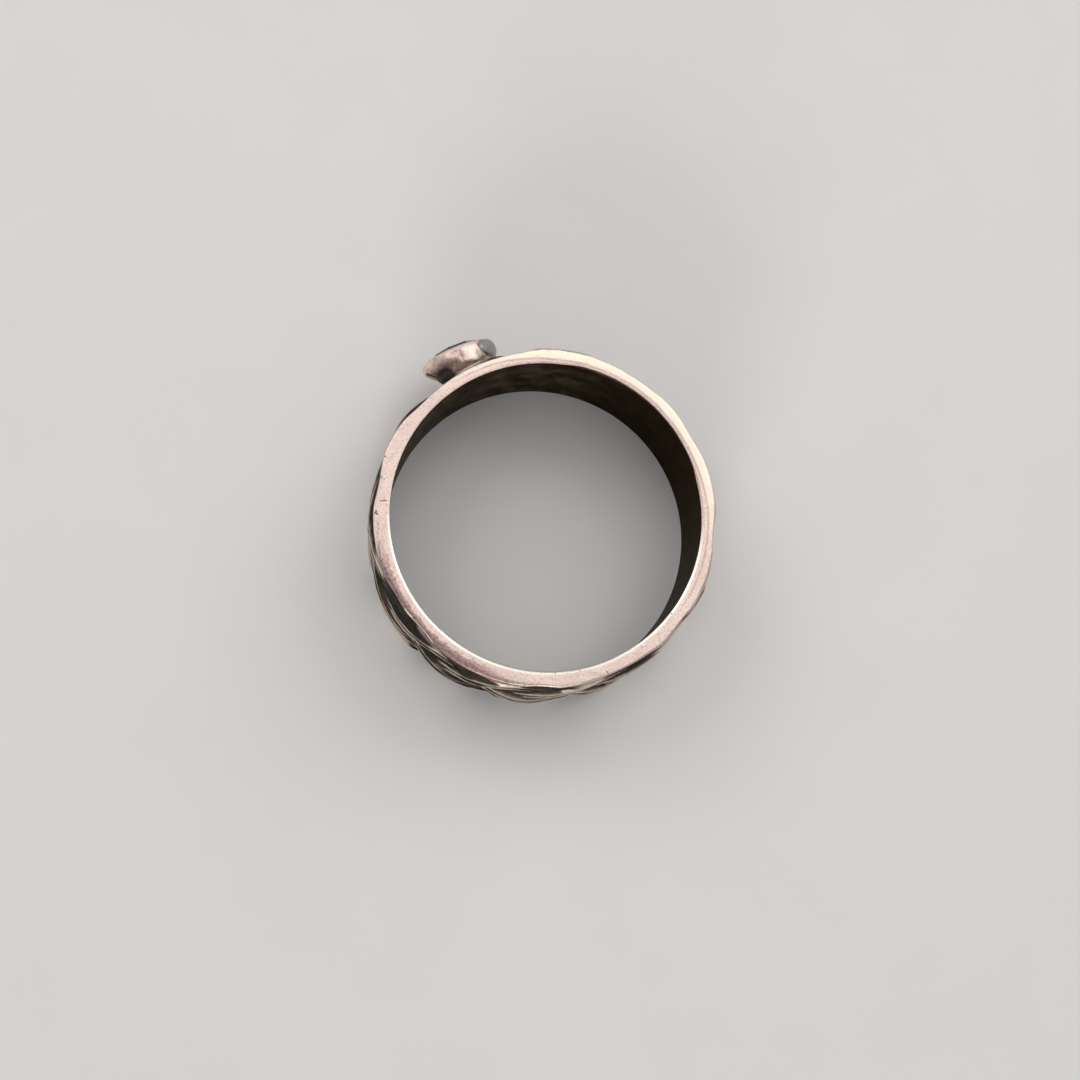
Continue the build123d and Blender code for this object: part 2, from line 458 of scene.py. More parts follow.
def strand_section(offset):
    """A strand's height above the floor at an offset from its middle, and how far down a groove that is."""
    half = STRAND_WIDTH / 2
    beyond = np.abs(offset) - half
    flank = STRAND_BODY * (1 - smooth_step(0.0, STRAND_FLANK, beyond))
    across = (offset + half) / STRAND_WIDTH * CORD_COUNT
    from_crest = 2 * np.abs(across - np.floor(across) - 0.5)
    arch = np.sqrt(1 - CORD_FULLNESS * from_crest**2)
    lowest = math.sqrt(1 - CORD_FULLNESS)
    cords = (arch - lowest) / (1 - lowest)
    crown = 1 - (offset / half) ** 2
    top = STRAND_BODY - GROOVE_EXTRA + (CORD_HEIGHT + GROOVE_EXTRA) * cords + STRAND_CROWN * crown
    return np.where(beyond > 0, flank, top), np.where(beyond > 0, 1.0, from_crest)


def relief(place, height):
    """Height of the pattern above its floor, and how far down a groove it is, for a grid of points."""
    step = 0.02
    run = np.radians(along(TURN, place + step) - along(TURN, place - step))
    run = run * (BORE_RADIUS + FLOOR_WALL)
    tallest = np.zeros(np.broadcast(place, height).shape)
    groove = np.ones_like(tallest)
    for lead in range(LEAD_COUNT):
        rise = strand_height(place + step, lead) - strand_height(place - step, lead)
        offset = (height - strand_height(place, lead)) * run / np.hypot(run, rise)
        lift = -WEAVE_LIFT * np.sin(2 * strand_phase(place, lead))
        section, from_crest = strand_section(offset)
        here = smooth_step(0.0, FOOT_BLEND, section) * (section + lift)
        groove = np.where(here > tallest, from_crest, groove)
        tallest = smooth_max(tallest, here, CROSSING_BLEND)
    return tallest, groove


def worn_wall(place, heights, upper_edge, lower_edge):
    """Radius, pattern and groove of the wall, where the plait gives way to the edges of both rims."""
    pattern, groove = relief(place[None, :], heights)
    wall = BORE_RADIUS + along(WALL, place) * (FLOOR_WALL + pattern)
    smooth = near(along(TURN, place), SMOOTH_TURN, SMOOTH_SPREAD)
    blend = UPPER_BLEND + SMOOTH_BLEND * smooth
    solid = UPPER_SOLID + SMOOTH_SOLID * smooth
    upper = smooth_step(blend, solid, HALF_WIDTH - heights)
    lower = smooth_step(LOWER_BLEND, LOWER_SOLID, HALF_WIDTH + heights)
    wall = wall + (upper_edge - wall) * upper + (lower_edge - wall) * lower
    groove = groove * (1 - upper) * (1 - LOWER_CLEANED * lower)
    pattern = (wall - BORE_RADIUS) / along(WALL, place) - FLOOR_WALL
    return wall, pattern, groove


def rim_rows(flat, edge, shoulder_deep, inner_deep):
    """Radius of each row of a rim, from the finger hole outwards, and how far it is from the rim's face."""
    rows = []
    for share in np.linspace(0, 1, EDGE_ROWS)[:-1]:
        radius = BORE_RADIUS + INNER_EDGE_WIDE * share
        rows.append((radius, inner_deep * (1 - share) ** INNER_EDGE_CURVE))
    bore_edge = BORE_RADIUS + INNER_EDGE_WIDE
    for share in np.linspace(0, 1, RIM_ROWS):
        rows.append((bore_edge + (flat - bore_edge) * share, 0.0))
    for angle in np.linspace(0, math.pi / 2, ROUND_ROWS + 1)[1:-1]:
        rows.append((flat + (edge - flat) * math.sin(angle), shoulder_deep * (1 - math.cos(angle))))
    return rows


def band_section(place):
    """Radius and height of each row of the band's section, then its wall's rows, pattern and groove."""
    upper_edge = around(UPPER_EDGE, EDGE, place)
    upper_flat = around(UPPER_EDGE, FLAT, place)
    lower_edge = around(LOWER_EDGE, EDGE, place)
    upper_deep = SHOULDER_DEEP + SHOULDER_STEEP * (upper_edge - upper_flat - SHOULDER_WIDE)
    inner_deep = INNER_EDGE_DEEP * (1 - CRISP * near(along(TURN, place), CRISP_TURN, CRISP_SPREAD))
    upper_rim = rim_rows(upper_flat, upper_edge, upper_deep, inner_deep)
    lower_rim = rim_rows(lower_edge - LOWER_SHOULDER_WIDE, lower_edge, SHOULDER_DEEP, inner_deep)

    top = HALF_WIDTH - upper_deep
    bottom = SHOULDER_DEEP - HALF_WIDTH
    heights = top + (bottom - top) * np.linspace(0, 1, WALL_ROWS)[:, None]
    wall, pattern, groove = worn_wall(place, heights, upper_edge, lower_edge)

    bore_heights = (2 * np.linspace(0, 1, BORE_ROWS) - 1) * (HALF_WIDTH - BORE_BEVEL)
    rows = [(BORE_RADIUS, height) for height in bore_heights]
    rows += [(radius, HALF_WIDTH - depth) for radius, depth in upper_rim]
    wall_rows = slice(len(rows), len(rows) + WALL_ROWS)
    rows += zip(wall, heights)
    rows += [(radius, depth - HALF_WIDTH) for radius, depth in reversed(lower_rim)]
    radius = np.array([np.broadcast_to(r, place.shape) for r, _ in rows])
    height = np.array([np.broadcast_to(z, place.shape) for _, z in rows])
    return radius, height, wall_rows, pattern, groove


def new_piece(name, points, faces, material, attributes):
    """Makes a smooth mesh object from points in millimetres, with named values at its points."""
    mesh = bpy.data.meshes.new(name)
    mesh.from_pydata((points * MM).tolist(), [], faces)
    mesh.update()
    mesh.shade_smooth()
    for key, values in attributes.items():
        attribute = mesh.attributes.new(key, "FLOAT", "POINT")
        attribute.data.foreach_set("value", values.astype(np.float32).ravel())
    mesh.materials.append(material)
    piece = bpy.data.objects.new(name, mesh)
    bpy.context.scene.collection.objects.link(piece)
    return piece


def quads(rows, columns, rows_close):
    """Corner numbers of a grid's squares. It closes round its columns, and round its rows if asked."""
    row = np.arange(rows if rows_close else rows - 1)[:, None]
    column = np.arange(columns)[None, :]
    here = row * columns
    above = (row + 1) % rows * columns
    beside = (column + 1) % columns
    corners = (here + column, above + column, above + beside, here + beside)
    return np.stack(corners, -1).reshape(-1, 4).tolist()


def make_band(material):
    """The plaited band: one closed mesh, with its hollows, grooves and polish written at its points; the
    polish also carries painted highlights and a painted dark reflection.
    """
    columns = COLUMNS_PER_BIGHT * len(BIGHTS)
    place = np.arange(columns) / COLUMNS_PER_BIGHT
    radius, height, wall_rows, pattern, groove = band_section(place)
    turn = np.radians(FRONT + along(TURN, place))[None, :]

    def placed(radii):
        return np.stack([radii * np.cos(turn), radii * np.sin(turn), height], -1)

    wall_points = placed(radius)[wall_rows]
    coarse = ripple(wall_points, WEAR_COARSE, WEAR_SEEDS[0])
    fine = ripple(wall_points, WEAR_FINE, WEAR_SEEDS[1])
    radius[wall_rows] += WEAR_DEEP * (coarse + fine - WEAR_LOSS)
    points = placed(radius)

    degrees = np.broadcast_to(along(TURN, place), groove.shape)
    # Painted highlights: bright bars on the wall
    highlight_bars = patchwork(HIGHLIGHT_BARS, degrees, height[wall_rows])
    # Painted dark reflection over part of the wall, where the polish is taken away
    dark_reflection = near(degrees, DARK_REFLECTION_TURN, DARK_REFLECTION_SPREAD)
    worn = POLISH_MEAN + POLISH_RANGE * ripple(points[wall_rows], POLISH_SIZE, POLISH_SEED)

    def with_rims(wall_values, rim_value):
        values = np.full_like(radius, rim_value)
        values[wall_rows] = wall_values
        return values

    attributes = {
        "hollow": with_rims(blurred(pattern, HOLLOW_BLUR) - pattern, 0.0),
        "groove": with_rims(groove, 0.0),
        "level": with_rims(pattern, 1.0),
        "polish": with_rims(worn + (highlight_bars - DARK_REFLECTION_LOSS * worn) * dark_reflection, 1.0),
        "from_edge": radius - around(UPPER_EDGE, EDGE, place),
    }
    return new_piece("silver_band", points.reshape(-1, 3), quads(*radius.shape, True), material, attributes)


def cup_profile():
    """Level and radius of each row of the cup's section: outside, lip, then the pocket for the stone."""
    rows = [(level, CUP_FOOT + share * SOLDER_SPREAD) for level, share in SOLDER_FLARE]
    for angle in np.linspace(0, math.pi / 2, BOWL_ROWS):
        rows.append((CUP_SHOULDER - (CUP_SHOULDER - CUP_FOOT_HEIGHT) * math.cos(angle),
                     CUP_FOOT + (CUP_RADIUS - CUP_FOOT) * math.sin(angle)))
    for angle in np.linspace(0, math.pi / 2, CUP_SHOULDER_ROWS)[1:]:
        rows.append((CUP_SHOULDER + (CUP_HEIGHT - CUP_SHOULDER) * math.sin(angle),
                     CUP_LIP + (CUP_RADIUS - CUP_LIP) * math.cos(angle)))
    for angle in np.linspace(0, math.pi / 2, LIP_ROWS)[1:]:
        rows.append((CUP_HEIGHT - LIP_DROP * (1 - math.cos(angle)),
                     CUP_LIP - (CUP_LIP - LIP_INSIDE) * math.sin(angle)))
    rows += [(POCKET_TOP, POCKET_RADIUS), (POCKET_BOTTOM, POCKET_RADIUS), (SEAT_LEVEL, SEAT_RADIUS)]
    return np.array(rows)


def about_setting(level, radius, turn):
    """Points at levels along the setting's axis, and at radii and turns about it."""
    sideways = BESIDE * np.cos(turn)[..., None] + UP * np.sin(turn)[..., None]
    return SETTING_FOOT + OUTWARD * level[..., None] + sideways * radius[..., None]


def make_cup(material):
    """The bezel cup: a turned bowl with a hollow for the stone, uneven outside from its soldering."""
    level, radius = cup_profile().T[..., None]
    level = np.broadcast_to(level, (len(level), CUP_COLUMNS))
    degrees = np.arange(CUP_COLUMNS)[None, :] * FULL_TURN / CUP_COLUMNS
    turn = np.radians(degrees)

    even = about_setting(level, radius, turn)
    rough = ripple(even, ROUGH_COARSE, ROUGH_SEEDS[0])
    rough = rough + ROUGH_FINE_SHARE * ripple(even, ROUGH_FINE, ROUGH_SEEDS[1])
    bead = np.hypot((degrees - BEAD_TURN) / BEAD_HALF_TURN, (level - BEAD_LEVEL) / BEAD_HALF_LEVEL)
    seam = np.exp(-((bead + SEAM_UNEVEN * rough - 1) / SEAM_WIDE) ** 2)
    seam = seam * smooth_step(BEAD_TURN + SEAM_FADE, BEAD_TURN - SEAM_FADE, degrees)
    solder = np.clip(patchwork(SOLDERED, degrees, level), 0, 1) * smooth_step(BEAD_SMOOTH, BEAD_ROUGH, bead)
    lumps = patchwork(LUMPS, degrees, level) - SEAM_DEEP * seam
    lumps = lumps + rough * (ROUGH_DEEP + ROUGH_SOLDER_DEEP * solder)
    outside = smooth_step(POCKET_RADIUS + LUMPS_CLEAR, CUP_LIP, radius)
    outside = np.where(level < CUP_SHOULDER, smooth_step(SEAT_RADIUS, CUP_FOOT, radius), outside)
    points = about_setting(level, radius + lumps * outside, turn).reshape(-1, 3)

    poles = [SETTING_FOOT + OUTWARD * level[0, 0], SETTING_FOOT + OUTWARD * level[-1, 0]]
    foot_pole, seat_pole = len(points), len(points) + 1
    last_row = len(points) - CUP_COLUMNS
    faces = quads(*level.shape, False)
    for column in range(CUP_COLUMNS):
        beside = (column + 1) % CUP_COLUMNS
        faces.append([foot_pole, column, beside])
        faces.append([seat_pole, last_row + beside, last_row + column])

    def with_poles(values):
        return np.append(values.ravel(), (0.0, 0.0))

    attributes = {
        # Painted highlights
        "bright": with_poles(patchwork(PAINTED_HIGHLIGHT_PATCHES, degrees, level)),
        "bead": with_poles(bead),
        # Painted shade and the dark seam
        "dark": with_poles(patchwork(PAINTED_SHADE_PATCHES, degrees, level) + SEAM_DARK * seam),
    }
    return new_piece("bezel_cup", np.concatenate([points, poles]), faces, material, attributes)


def rgb(red, green, blue):
    """An opaque colour from linear values."""
    return (red, green, blue, 1.0)


# Colours of the band's silver: its two tones, its darker patches, specks and pits, and its worn wall
SILVER_LIGHT = rgb(0.86, 0.70, 0.63)
SILVER_DEEP = rgb(0.78, 0.62, 0.57)
SILVER_PATCH = rgb(0.62, 0.47, 0.41)
SILVER_SPECK = rgb(0.42, 0.30, 0.26)
SILVER_PIT = rgb(0.20, 0.13, 0.11)
SILVER_WALL = rgb(0.74, 0.67, 0.57)
SILVER_WALL_SHARE = 0.55

# Colours of its tints and marks, painted highlights, painted shade and a painted glint among them
# Cream and yellow: warmer tones, lighter as a painted highlight over one side of the rim
CREAM = rgb(0.98, 0.86, 0.72)
YELLOW = rgb(0.98, 0.92, 0.70)
# Mauve and its darker mottles: a tarnish tone, darker as painted shade where the rim's outer part faces away
# from the lights
MAUVE = rgb(0.64, 0.43, 0.41)
DARK_MAUVE = rgb(0.31, 0.18, 0.17)
# Colour of the painted highlight along the rim's inner edge
PAINTED_EDGE_HIGHLIGHT = rgb(0.99, 0.93, 0.86)
# Colour of the painted shade on the rim's outer lip
PAINTED_SHADE_LIP = rgb(0.22, 0.13, 0.12)
GREY_LIP = rgb(0.40, 0.40, 0.34)
# Colour of the painted glint on the rim's outer lip
PAINTED_GLINT = rgb(0.97, 0.90, 0.84)
BROWN_LINE = rgb(0.46, 0.30, 0.26)
GREY_PATCH = rgb(0.33, 0.29, 0.24)
NICK = rgb(0.17, 0.11, 0.09)

# Colours of its tarnish: brown, black, lighter black, the dust on it, and what is left of its reflections
TARNISH = rgb(0.17, 0.13, 0.10)
TARNISH_SHARE = 0.85
SOOT = rgb(0.012, 0.010, 0.008)
THIN_SOOT = rgb(0.050, 0.038, 0.028)
SOOT_DUST = rgb(0.11, 0.085, 0.065)
CLEAN_GLOSS = rgb(0.95, 0.92, 0.88)
TARNISHED_GLOSS = rgb(0.42, 0.38, 0.33)

# Colours of the finger hole, painted as a dark reflection: dark, clouded as a paler reflection, reddish near
# the rim, and its pits
BORE_DARK = rgb(0.036, 0.031, 0.023)
BORE_CLOUD = rgb(0.22, 0.19, 0.15)
BORE_RED = rgb(0.075, 0.036, 0.028)
BORE_PIT = rgb(0.010, 0.008, 0.006)

# Colours of the cup: its two tones, its specks, its bead, its painted highlights, and its painted shade with
# the dark seam
CUP_LIGHT = rgb(0.97, 0.79, 0.71)
CUP_DEEP = rgb(0.76, 0.58, 0.51)
CUP_SPECK = rgb(0.30, 0.20, 0.16)
CUP_BEAD = rgb(0.34, 0.34, 0.36)
CUP_BEAD_SHARE = 0.9
# Colour of the painted highlights
CUP_PAINTED_HIGHLIGHT = rgb(0.99, 0.90, 0.80)
# Colour of the painted shade and of the dark seam
CUP_DARK = rgb(0.035, 0.027, 0.022)
CUP_DARK_SHARE = 0.92

# Colours of the stone, the floor and the surround
STONE_DARK = rgb(0.006, 0.006, 0.008)
STONE_CLOUD = rgb(0.022, 0.016, 0.020)
FLOOR_LIGHT = rgb(0.82, 0.81, 0.80)
FLOOR_DEEP = rgb(0.78, 0.77, 0.76)
SURROUND = rgb(0.80, 0.81, 0.83)

# Heights between which the rim's finish gives way to the wall's, and how far chance bends a tint's border
RIM_FINISH_END = HALF_WIDTH - 0.32
RIM_FINISH_FULL = HALF_WIDTH - 0.18
RAGGEDNESS = 0.55

# Tints of the silver, some of them painted highlights and painted shade, laid over each other in this order.
# Columns: turn in degrees, half its turn, degrees over which it fades, what it follows across the rim, where
# it starts, where it is full, strength, whether it stays on the rim, colour, and colour of its mottles.
TINTS = (
    # Cream tone, lighter as a painted highlight
    (303.0, 42.0, 35.0, "ragged", 9.28, 9.40, 0.70, False, CREAM, None),
    # Yellow tone, lighter as a painted highlight
    (331.0, 9.0, 12.0, "ragged", 9.34, 9.46, 0.35, False, YELLOW, None),
    # Mauve: a tarnish tone, darker as painted shade on the rim's outer part
    (106.0, 20.0, 20.0, "ragged", 9.39, 9.50, 0.86, True, MAUVE, DARK_MAUVE),
    # Painted highlight along the rim's inner edge
    (151.0, 82.0, 9.0, "radius", 9.18, 9.12, 0.90, False, PAINTED_EDGE_HIGHLIGHT, None),
    # Painted shade on the rim's outer lip
    (127.0, 12.0, 8.0, "from_edge", -0.18, -0.05, 0.85, True, PAINTED_SHADE_LIP, None),
    (328.0, 9.0, 8.0, "ragged", 9.76, 9.88, 0.60, False, GREY_LIP, None),
)

# Stretches of the rim's outer lip that are bent up, with a painted glint on them, and how softly they end.
# Columns: turn in degrees, half its length, strength.
GLEAMS = (
    (70.0, 7.5, 0.6),
    (99.3, 0.8, 1.5),
    (104.5, 3.5, 0.6),
    (110.5, 0.8, 1.2),
    (143.0, 2.0, 0.9),
    (160.0, 4.0, 0.6),
    (234.5, 1.5, 0.9),
)
GLEAM_FADE = 1.5

# Middle of the bent lip and of its painted glint, in from the outer edge, half its width, and how far up it
# is bent
LIP_IN = 0.045
LIP_WIDE = 0.05
LIP_BENT = 0.05

# Thin brown line round part of the rim: its turn, half its turn and fade in degrees, its radius, half its
# width, how far it wanders with the clouds and shakes by chance, and how far in it runs, and where
LINE_TURN = (288.0, 72.0, 12.0)
LINE_RADIUS = 9.34
LINE_WIDE = 0.10
LINE_WANDER = 0.10
LINE_SHAKE = 0.06
LINE_INWARD = 0.14
LINE_INWARD_TURN = (300.0, 30.0, 25.0)

# Nicks and pits on the upper rim.
# Columns: turn in degrees, radius, half length, half width, lean of its length from the radius in
# degrees, and how dark and deep it is.
MARKS = (
    (59.2, 9.385, 0.20, 0.035, 12.0, 0.8),
    (63.4, 9.80, 0.12, 0.045, 60.0, 0.8),
    (63.9, 9.73, 0.06, 0.050, 0.0, 0.8),
    (44.1, 9.86, 0.06, 0.05, 0.0, 0.7),
    (51.2, 9.70, 0.06, 0.04, 70.0, 0.6),
    (156.4, 9.09, 0.08, 0.018, 5.0, 0.8),
    (165.2, 9.10, 0.08, 0.018, -8.0, 0.6),
    (174.4, 9.66, 0.16, 0.030, 15.0, 0.6),
    (205.6, 9.08, 0.06, 0.030, 0.0, 0.7),
    (279.0, 9.08, 0.06, 0.035, 0.0, 0.7),
)

# How deep the nicks are, how sharp their edge is from 0 to 1, and where any mark ends, as the square of
# its own size
MARK_DEEP = 0.05
MARK_SHARP = 0.5
MARK_END = 1.6

# Darker grey patches on the rim, in the columns of the marks
GREY_PATCHES = (
    (75.5, 9.77, 0.42, 0.09, 84.0, 0.75),
    (68.5, 9.72, 0.50, 0.06, 86.0, 0.50),
    (44.0, 9.55, 0.35, 0.12, 70.0, 0.25),
    (171.0, 9.55, 0.50, 0.12, 80.0, 0.25),
)
GREY_PATCH_SHARP = 0.0

# Tarnish of the wall gathers with depth, where 0 is a cord's crest and 1 a groove, and in hollows, which are
# counted in millimetres. Each pair says where it starts and where it is full.
BROWN_DEPTH = (0.18, 0.66)
BROWN_HOLLOW = (-0.02, 0.035)
BLACK_DEPTH = (0.50, 0.95)
BLACK_HOLLOW = (0.01, 0.06)

# What adds to that depth: low levels of the pattern, dull places and the part painted as a dark reflection,
# and chance, which varies the hollows and the polish as well
LOW_LEVELS = (0.44, 0.26)
LOW_DEPTH = 0.55
DULL_AND_SHADED_PLACES = (0.70, 0.15)
DULL_AND_SHADED_DEPTH = 0.85
CHANCE_DEPTH = 0.6
CHANCE_HOLLOW = 0.05
CHANCE_POLISH = 0.5

# What takes from it: crests, and the places with the highest polish, painted highlight bars among them
CRESTS = (0.34, 0.10)
CREST_DEPTH = -0.40
SHINING_PLACES = (1.3, 2.0)
SHINE_DEPTH = -0.8
SHINE_HOLLOW = -0.08

# Gloss and grain of the silver: roughness where the grain is finest and coarsest, what soot and the wall
# add to it, how metallic soot is, and depths of the grain and the specks
SILVER_ROUGHNESS = (0.26, 0.44)
SOOT_ROUGHNESS = 0.25
WALL_ROUGHNESS = 0.02
SOOT_METALLIC = 0.4
SILVER_GRAIN = 0.012
SILVER_SPECKS = 0.016

# The same of the cup, with what its bead and its dark places make of it, and the depth of its patches
CUP_ROUGHNESS = (0.42, 0.60)
BEAD_ROUGHNESS = -0.18
DARK_METALLIC = 0.5
CUP_GRAIN = 0.010
CUP_SPECKS = 0.022
CUP_UNEVEN = 0.06

# Gloss of the stone and the floor
STONE_ROUGHNESS = (0.05, 0.14)
STONE_IOR = 1.62
FLOOR_ROUGHNESS = 0.8

# Finger hole, painted dark as a painted dark reflection: where that paint starts and is full, just outside
# its own radius
BORE_PAINT_EDGE = (0.010, 0.002)

# Turn, half its turn and fade, in degrees: of the part where that painted dark climbs over the inner edge as
# painted shade, and how far; of its clouded part, which paints a paler reflection, and the share of clouds
# elsewhere; of its reddish part, and the depths below the rim where that ends and where it is full
BORE_CLIMB_TURN = (292.0, 27.0, 9.0)
BORE_CLIMB = 0.05
BORE_CLIMB_CHANCE = 0.06
BORE_CLOUD_TURN = (8.0, 30.0, 45.0)
BORE_CLOUD_LEAST = 0.15
BORE_RED_TURN = (300.0, 35.0, 30.0)
BORE_RED_DEPTHS = (1.2, 0.1)


class Shader:
    """Adds nodes to one material, each on one line, with numbers or other nodes' outputs as inputs."""

    def __init__(self, name):
        self.material = bpy.data.materials.new(name)
        self.material.use_nodes = True
        self.tree = self.material.node_tree
        self.tree.nodes.clear()
        output = self.tree.nodes.new("ShaderNodeOutputMaterial")
        self.surface = self.tree.nodes.new("ShaderNodeBsdfPrincipled")
        self.tree.links.new(self.surface.outputs[0], output.inputs["Surface"])
        self.place = self.add("TexCoord").outputs["Object"]

    def add(self, kind, inputs=None, **settings):
        node = self.tree.nodes.new("ShaderNode" + kind)
        for key, value in settings.items():
            setattr(node, key, value)
        for key, value in (inputs or {}).items():
            self.put(node.inputs[key], value)
        return node

    def put(self, socket, value):
        if isinstance(value, bpy.types.NodeSocket):
            self.tree.links.new(value, socket)
        else:
            socket.default_value = value

    def set(self, **inputs):
        for key, value in inputs.items():
            self.put(self.surface.inputs[key.replace("_", " ")], value)

    def value(self, name):
        """A value that was written at the points of the mesh."""
        return self.add("Attribute", attribute_name=name).outputs["Fac"]

    def noise(self, size, detail=3.0, roughness=0.55, distortion=0.0):
        """Cloudy noise from 0 to 1, with features about size millimetres across."""
        inputs = {"Vector": self.place, "Scale": 1 / (size * MM), "Detail": detail,
                  "Roughness": roughness, "Distortion": distortion}
        return self.add("TexNoise", inputs).outputs[0]

    def math(self, operation, a, b=0.0, c=0.0):
        return self.add("Math", {0: a, 1: b, 2: c}, operation=operation).outputs[0]

    def times(self, a, b):
        return self.math("MULTIPLY", a, b)

    def plus(self, a, b):
        return self.math("ADD", a, b)

    def larger(self, a, b):
        return self.math("MAXIMUM", a, b)

    def add_share(self, value, share, onto):
        """Adds a share of one value onto another."""
        return self.math("MULTIPLY_ADD", value, share, onto)

    def ramp(self, value, low, high, bottom=0.0, top=1.0):
        """A smooth ramp of a value: bottom at low, top at high."""
        inputs = {"Value": value, "From Min": low, "From Max": high, "To Min": bottom, "To Max": top}
        return self.add("MapRange", inputs, interpolation_type="SMOOTHSTEP").outputs[0]

    def mix(self, share, a, b):
        """Colour a where share is 0, and b where it is 1."""
        return self.add("Mix", {0: share, 6: a, 7: b}, data_type="RGBA").outputs[2]

    def bump(self, height, distance, normal=None):
        """Raises the surface by a height times a distance in millimetres, on top of another bump or none."""
        inputs = {"Height": height, "Distance": distance * MM}
        if normal is not None:
            inputs["Normal"] = normal
        return self.add("Bump", inputs).outputs[0]


class BandShader(Shader):
    """Shader of the band, with the places and noises that its finishes share.

    Chance is the noise of the patches about nought, and ragged is the radius that it has bent.
    """

    def __init__(self, name):
        super().__init__(name)
        x, y, z = self.add("SeparateXYZ", {0: self.place}).outputs
        across = self.math("SQRT", self.plus(self.times(x, x), self.times(y, y)))
        turn = self.add_share(self.math("ARCTAN2", y, x), 180 / math.pi, FULL_TURN - FRONT)
        self.turn = self.math("FLOORED_MODULO", turn, FULL_TURN)
        self.radius = self.math("DIVIDE", across, MM)
        self.height = self.math("DIVIDE", z, MM)
        self.from_edge = self.value("from_edge")
        self.cloud = self.noise(1.8, detail=4.0)
        self.patch = self.noise(0.55, detail=4.0, distortion=0.6)
        self.speck = self.noise(0.13, roughness=0.6)
        self.chance = self.math("SUBTRACT", self.patch, 0.5)
        self.ragged = self.add_share(self.chance, RAGGEDNESS, self.radius)
        self.on_rim = self.ramp(self.height, RIM_FINISH_END, RIM_FINISH_FULL)
        self.off_rim = self.ramp(self.height, RIM_FINISH_FULL, RIM_FINISH_END)

    def away(self, centre):
        """Degrees from a turn round the ring, the short way round."""
        return self.math("WRAP", self.math("SUBTRACT", self.turn, centre), FULL_TURN / 2, -FULL_TURN / 2)

    def near(self, centre, half, fade):
        """1 within half of a centre, in degrees round the ring, fading to 0 over fade more."""
        return self.ramp(self.math("ABSOLUTE", self.away(centre)), half + fade, half)

    def mark(self, radius, row, sharp):
        """Strength of one oval mark inside it, and 0 outside. Its edge is soft for 0 and sharp for 1."""
        centre, middle, half_length, half_width, lean, strength = row
        sideways = self.times(self.away(centre), math.radians(1) * middle)
        outward = self.math("SUBTRACT", radius, middle)
        cosine = math.cos(math.radians(lean))
        sine = math.sin(math.radians(lean))
        length = self.add_share(outward, cosine / half_length, self.times(sideways, sine / half_length))
        width = self.add_share(outward, -sine / half_width, self.times(sideways, cosine / half_width))
        square = self.add_share(length, length, self.times(width, width))
        return self.ramp(square, MARK_END, sharp, top=strength)

    def marks(self, radius, rows, sharp):
        """Strongest of several marks at each point."""
        strongest = 0.0
        for row in rows:
            strongest = self.larger(self.mark(radius, row, sharp), strongest)
        return strongest

    def silver(self):
        """The bare metal, with its tints, some of which are painted highlights and painted shade."""
        metal = self.mix(self.ramp(self.cloud, 0.35, 0.65), SILVER_LIGHT, SILVER_DEEP)
        metal = self.mix(self.ramp(self.patch, 0.50, 0.72, top=0.35), metal, SILVER_PATCH)
        metal = self.mix(self.ramp(self.speck, 0.52, 0.70, top=0.55), metal, SILVER_SPECK)
        pits = self.noise(0.16, detail=2.0, roughness=0.5, distortion=1.5)
        metal = self.mix(self.ramp(pits, 0.66, 0.74, top=0.6), metal, SILVER_PIT)
        for centre, half, fade, follows, start, full, strength, rim_only, colour, mottles in TINTS:
            across = self.ramp(getattr(self, follows), start, full, top=strength)
            share = self.times(self.near(centre, half, fade), across)
            if rim_only:
                share = self.times(share, self.on_rim)
            if mottles:
                colour = self.mix(self.ramp(self.speck, 0.32, 0.68), colour, mottles)
            metal = self.mix(share, metal, colour)
        return metal

    def lip_bend_and_glint(self):
        """How much the rim's outer lip is bent up, and how strong the painted glint on it is."""
        gleam = 0.0
        for centre, half, strength in GLEAMS:
            gleam = self.add_share(self.near(centre, half, GLEAM_FADE), strength, gleam)
        lip = self.math("ABSOLUTE", self.plus(self.from_edge, LIP_IN))
        return self.times(gleam, self.times(self.ramp(lip, LIP_WIDE, 0.0), self.on_rim))

    def brown_line(self):
        """Strength of the brown line round part of the rim."""
        middle = self.add_share(self.near(*LINE_INWARD_TURN), -LINE_INWARD, LINE_RADIUS)
        middle = self.add_share(self.cloud, LINE_WANDER, middle)
        middle = self.add_share(self.chance, LINE_SHAKE, middle)
        line = self.ramp(self.math("ABSOLUTE", self.math("SUBTRACT", self.radius, middle)), LINE_WIDE, 0.0)
        line = self.times(line, self.near(*LINE_TURN))
        return self.times(line, self.ramp(self.patch, 0.30, 0.60, 0.35, 0.75))

    def tarnish(self):
        """How brown and how black the wall is, with a painted dark reflection on part of it and painted
        highlight bars.
        """
        polish = self.add_share(self.chance, CHANCE_POLISH, self.value("polish"))
        shine = self.ramp(polish, *SHINING_PLACES)
        groove = self.value("groove")
        depth = self.add_share(self.chance, CHANCE_DEPTH, groove)
        depth = self.plus(depth, self.ramp(self.value("level"), *LOW_LEVELS, top=LOW_DEPTH))
        depth = self.plus(depth, self.ramp(groove, *CRESTS, top=CREST_DEPTH))
        # Dull places and the painted dark reflection darken the wall
        depth = self.plus(depth, self.ramp(polish, *DULL_AND_SHADED_PLACES, top=DULL_AND_SHADED_DEPTH))
